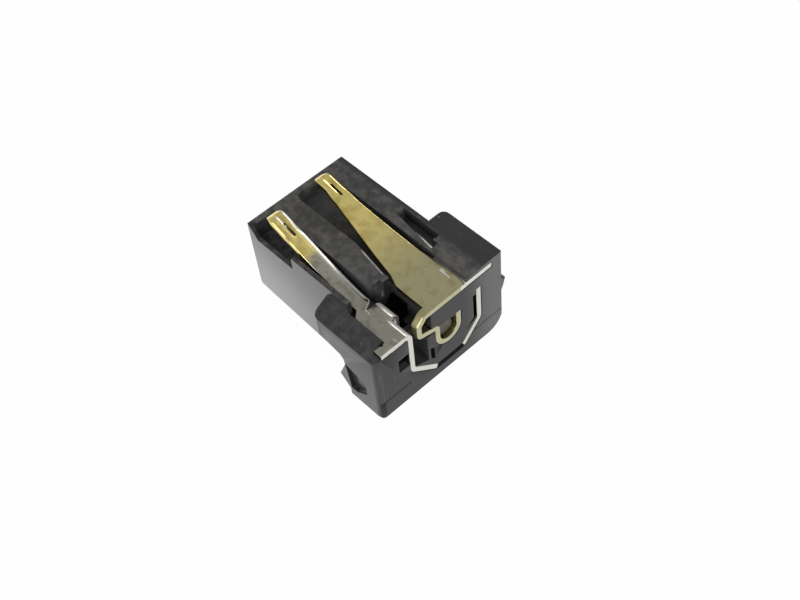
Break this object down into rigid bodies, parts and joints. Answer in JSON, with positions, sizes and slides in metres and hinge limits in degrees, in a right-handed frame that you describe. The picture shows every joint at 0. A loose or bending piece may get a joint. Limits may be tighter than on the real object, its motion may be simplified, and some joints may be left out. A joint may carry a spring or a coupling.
{
  "type": "charging port connector",
  "caption": "Small black barrel-plug charging port with two gold-plated sprung contact arms over a moulded housing, a round plug bore and rear mounting ears",
  "frame": {"origin": "The middle of the housing's flat underside, on the plane the part rests on, halfway along the body and halfway across it", "axes": "+Y runs along the plug bore and out of its mouth, +Z points from the underside to the spring tips, +X is to the right when the part is seen from its rear"},
  "size_m": [0.0079, 0.0094, 0.006],
  "materials": {
    "moulded_black": "fine spark-eroded satin",
    "plated_spring": "gold flash over a springy copper alloy, bright, with bare silvery cut edges",
    "turned_pin": "turned and nickel plated"
  },
  "bodies": {
    "housing": {"housing": "moulded_black", "centre_pin": "turned_pin"},
    "pin_arm": {"pin_contact": "plated_spring"},
    "sleeve_arm": {"sleeve_contact": "plated_spring"}
  },
  "joints": [
    {"name": "pin_arm_press", "type": "hinge", "parent": "housing", "child": "pin_arm", "pos_m": [0.00046, -0.00265, 0.00467], "axis": [-1, 0, 0], "range_deg": [0, 7.5], "stiffness_Nm_per_rad": 0.04, "deforming": ["pin_contact"]},
    {"name": "sleeve_arm_press", "type": "hinge", "parent": "housing", "child": "sleeve_arm", "pos_m": [-0.00209, -0.00209, 0.00428], "axis": [-1, 0, 0], "range_deg": [0, 8], "stiffness_Nm_per_rad": 0.04, "deforming": ["sleeve_contact"]}
  ]
}
